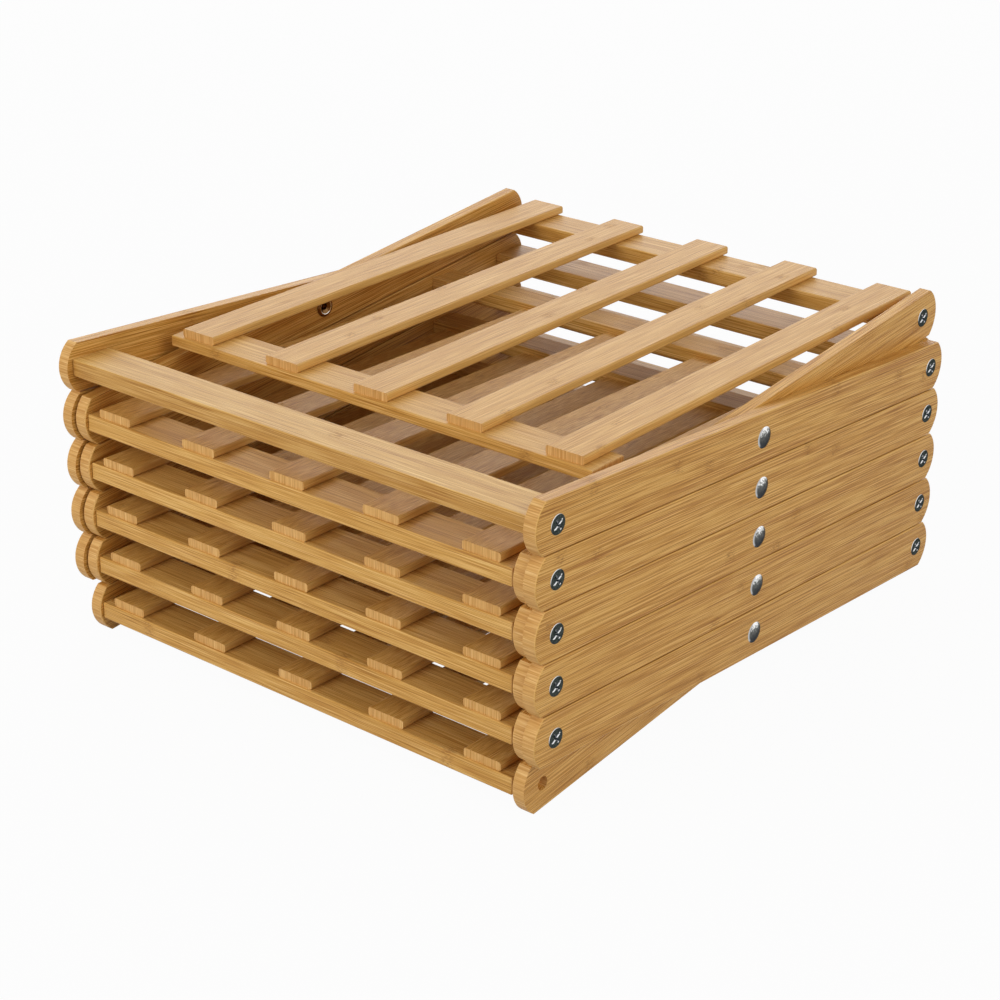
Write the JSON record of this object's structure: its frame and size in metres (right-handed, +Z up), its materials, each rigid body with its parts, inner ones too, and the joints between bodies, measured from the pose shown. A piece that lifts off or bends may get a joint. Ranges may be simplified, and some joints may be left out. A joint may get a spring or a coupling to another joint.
{
  "type": "folding shoe rack",
  "caption": "Accordion shoe rack of bamboo: riveted crossing side arms carry hinged slatted shelves and lift from a flat stack into a tall open tower.",
  "frame": {"origin": "middle of the footprint at floor level, rack folded flat", "axes": "+X along the rails to the right seen from the front, -Y to the front, +Z up"},
  "size_m": [0.3592, 0.4117, 0.186],
  "materials": {
    "bamboo_arm": "clear lacquer, satin",
    "bamboo_rail": "clear lacquer, satin",
    "bamboo_slat": "clear lacquer, satin",
    "screw_zinc": "dark zinc plate",
    "rivet_nickel": "bright nickel plate"
  },
  "bodies": {
    "base": {"bottom_back_rail": "bamboo_rail", "bottom_back_screws": "screw_zinc"},
    "outer_arms_1": {"outer_arm_left_1": "bamboo_arm", "outer_arm_right_1": "bamboo_arm", "pivot_rivets_1": "rivet_nickel"},
    "inner_arms_1": {"inner_arm_left_1": "bamboo_arm", "inner_arm_right_1": "bamboo_arm"},
    "shelf_1": {"shelf_front_rail_1": "bamboo_rail", "shelf_back_rail_1": "bamboo_rail", "shelf_slats_1": "bamboo_slat"},
    "back_rail_2": {"back_rail_2": "bamboo_rail", "back_screws_2": "screw_zinc"},
    "outer_arms_2": {"outer_arm_left_2": "bamboo_arm", "outer_arm_right_2": "bamboo_arm", "pivot_rivets_2": "rivet_nickel"},
    "inner_arms_2": {"inner_arm_left_2": "bamboo_arm", "inner_arm_right_2": "bamboo_arm"},
    "shelf_2": {"shelf_front_rail_2": "bamboo_rail", "shelf_back_rail_2": "bamboo_rail", "shelf_slats_2": "bamboo_slat", "shelf_screws_2": "screw_zinc"},
    "back_rail_3": {"back_rail_3": "bamboo_rail", "back_screws_3": "screw_zinc"},
    "outer_arms_3": {"outer_arm_left_3": "bamboo_arm", "outer_arm_right_3": "bamboo_arm", "pivot_rivets_3": "rivet_nickel"},
    "inner_arms_3": {"inner_arm_left_3": "bamboo_arm", "inner_arm_right_3": "bamboo_arm"},
    "shelf_3": {"shelf_front_rail_3": "bamboo_rail", "shelf_back_rail_3": "bamboo_rail", "shelf_slats_3": "bamboo_slat", "shelf_screws_3": "screw_zinc"},
    "back_rail_4": {"back_rail_4": "bamboo_rail", "back_screws_4": "screw_zinc"},
    "outer_arms_4": {"outer_arm_left_4": "bamboo_arm", "outer_arm_right_4": "bamboo_arm", "pivot_rivets_4": "rivet_nickel"},
    "inner_arms_4": {"inner_arm_left_4": "bamboo_arm", "inner_arm_right_4": "bamboo_arm"},
    "shelf_4": {"shelf_front_rail_4": "bamboo_rail", "shelf_back_rail_4": "bamboo_rail", "shelf_slats_4": "bamboo_slat", "shelf_screws_4": "screw_zinc"},
    "back_rail_5": {"back_rail_5": "bamboo_rail", "back_screws_5": "screw_zinc"},
    "outer_arms_5": {"outer_arm_left_5": "bamboo_arm", "outer_arm_right_5": "bamboo_arm", "pivot_rivets_5": "rivet_nickel", "top_front_rail": "bamboo_rail", "top_front_screws": "screw_zinc"},
    "inner_arms_5": {"inner_arm_left_5": "bamboo_arm", "inner_arm_right_5": "bamboo_arm"},
    "shelf_5": {"shelf_front_rail_5": "bamboo_rail", "shelf_back_rail_5": "bamboo_rail", "shelf_slats_5": "bamboo_slat", "shelf_screws_5": "screw_zinc"},
    "shelf_6": {"shelf_front_rail_6": "bamboo_rail", "shelf_back_rail_6": "bamboo_rail", "shelf_slats_6": "bamboo_slat", "shelf_screws_6": "screw_zinc"}
  },
  "joints": [
    {"name": "fold", "type": "hinge", "parent": "base", "child": "outer_arms_1", "pos_m": [0, 0.18837, 0.01566], "axis": [-1, 0, 0], "range_deg": [0, 37.31]},
    {"name": "cross_hinge_1", "type": "hinge", "parent": "outer_arms_1", "child": "inner_arms_1", "pos_m": [0, 0, 0.03111], "axis": [1, 0, 0], "range_deg": [0, 74.62]},
    {"name": "shelf_hinge_1", "type": "hinge", "parent": "inner_arms_1", "child": "shelf_1", "pos_m": [0, -0.18837, 0.01566], "axis": [-1, 0, 0], "range_deg": [0, 33.95]},
    {"name": "back_rail_hinge_2", "type": "hinge", "parent": "inner_arms_1", "child": "back_rail_2", "pos_m": [0, 0.18837, 0.04656], "axis": [-1, 0, 0], "range_deg": [0, 37.31]},
    {"name": "outer_hinge_2", "type": "hinge", "parent": "inner_arms_1", "child": "outer_arms_2", "pos_m": [0, 0.18837, 0.04656], "axis": [-1, 0, 0], "range_deg": [0, 74.62]},
    {"name": "cross_hinge_2", "type": "hinge", "parent": "outer_arms_2", "child": "inner_arms_2", "pos_m": [0, 0, 0.06202], "axis": [1, 0, 0], "range_deg": [0, 74.62]},
    {"name": "shelf_hinge_2", "type": "hinge", "parent": "inner_arms_2", "child": "shelf_2", "pos_m": [0, -0.18837, 0.04656], "axis": [-1, 0, 0], "range_deg": [0, 33.95]},
    {"name": "back_rail_hinge_3", "type": "hinge", "parent": "inner_arms_2", "child": "back_rail_3", "pos_m": [0, 0.18837, 0.07747], "axis": [-1, 0, 0], "range_deg": [0, 37.31]},
    {"name": "outer_hinge_3", "type": "hinge", "parent": "inner_arms_2", "child": "outer_arms_3", "pos_m": [0, 0.18837, 0.07747], "axis": [-1, 0, 0], "range_deg": [0, 74.62]},
    {"name": "cross_hinge_3", "type": "hinge", "parent": "outer_arms_3", "child": "inner_arms_3", "pos_m": [0, 0, 0.09292], "axis": [1, 0, 0], "range_deg": [0, 74.62]},
    {"name": "shelf_hinge_3", "type": "hinge", "parent": "inner_arms_3", "child": "shelf_3", "pos_m": [0, -0.18837, 0.07747], "axis": [-1, 0, 0], "range_deg": [0, 33.95]},
    {"name": "back_rail_hinge_4", "type": "hinge", "parent": "inner_arms_3", "child": "back_rail_4", "pos_m": [0, 0.18837, 0.10837], "axis": [-1, 0, 0], "range_deg": [0, 37.31]},
    {"name": "outer_hinge_4", "type": "hinge", "parent": "inner_arms_3", "child": "outer_arms_4", "pos_m": [0, 0.18837, 0.10837], "axis": [-1, 0, 0], "range_deg": [0, 74.62]},
    {"name": "cross_hinge_4", "type": "hinge", "parent": "outer_arms_4", "child": "inner_arms_4", "pos_m": [0, 0, 0.12382], "axis": [1, 0, 0], "range_deg": [0, 74.62]},
    {"name": "shelf_hinge_4", "type": "hinge", "parent": "inner_arms_4", "child": "shelf_4", "pos_m": [0, -0.18837, 0.10837], "axis": [-1, 0, 0], "range_deg": [0, 33.95]},
    {"name": "back_rail_hinge_5", "type": "hinge", "parent": "inner_arms_4", "child": "back_rail_5", "pos_m": [0, 0.18837, 0.13927], "axis": [-1, 0, 0], "range_deg": [0, 37.31]},
    {"name": "outer_hinge_5", "type": "hinge", "parent": "inner_arms_4", "child": "outer_arms_5", "pos_m": [0, 0.18837, 0.13927], "axis": [-1, 0, 0], "range_deg": [0, 74.62]},
    {"name": "cross_hinge_5", "type": "hinge", "parent": "outer_arms_5", "child": "inner_arms_5", "pos_m": [0, 0, 0.15473], "axis": [1, 0, 0], "range_deg": [0, 74.62]},
    {"name": "shelf_hinge_5", "type": "hinge", "parent": "inner_arms_5", "child": "shelf_5", "pos_m": [0, -0.18837, 0.13927], "axis": [-1, 0, 0], "range_deg": [0, 33.95]},
    {"name": "shelf_hinge_6", "type": "hinge", "parent": "inner_arms_5", "child": "shelf_6", "pos_m": [0, 0.18837, 0.17018], "axis": [-1, 0, 0], "range_deg": [0, 41.04]}
  ],
  "couplings": [
    {"joint": "cross_hinge_1", "follows": "fold", "ratio": 2},
    {"joint": "shelf_hinge_1", "follows": "fold", "ratio": 0.91},
    {"joint": "back_rail_hinge_2", "follows": "fold", "ratio": 1},
    {"joint": "outer_hinge_2", "follows": "fold", "ratio": 2},
    {"joint": "cross_hinge_2", "follows": "fold", "ratio": 2},
    {"joint": "shelf_hinge_2", "follows": "fold", "ratio": 0.91},
    {"joint": "back_rail_hinge_3", "follows": "fold", "ratio": 1},
    {"joint": "outer_hinge_3", "follows": "fold", "ratio": 2},
    {"joint": "cross_hinge_3", "follows": "fold", "ratio": 2},
    {"joint": "shelf_hinge_3", "follows": "fold", "ratio": 0.91},
    {"joint": "back_rail_hinge_4", "follows": "fold", "ratio": 1},
    {"joint": "outer_hinge_4", "follows": "fold", "ratio": 2},
    {"joint": "cross_hinge_4", "follows": "fold", "ratio": 2},
    {"joint": "shelf_hinge_4", "follows": "fold", "ratio": 0.91},
    {"joint": "back_rail_hinge_5", "follows": "fold", "ratio": 1},
    {"joint": "outer_hinge_5", "follows": "fold", "ratio": 2},
    {"joint": "cross_hinge_5", "follows": "fold", "ratio": 2},
    {"joint": "shelf_hinge_5", "follows": "fold", "ratio": 0.91},
    {"joint": "shelf_hinge_6", "follows": "fold", "ratio": 1.1}
  ]
}
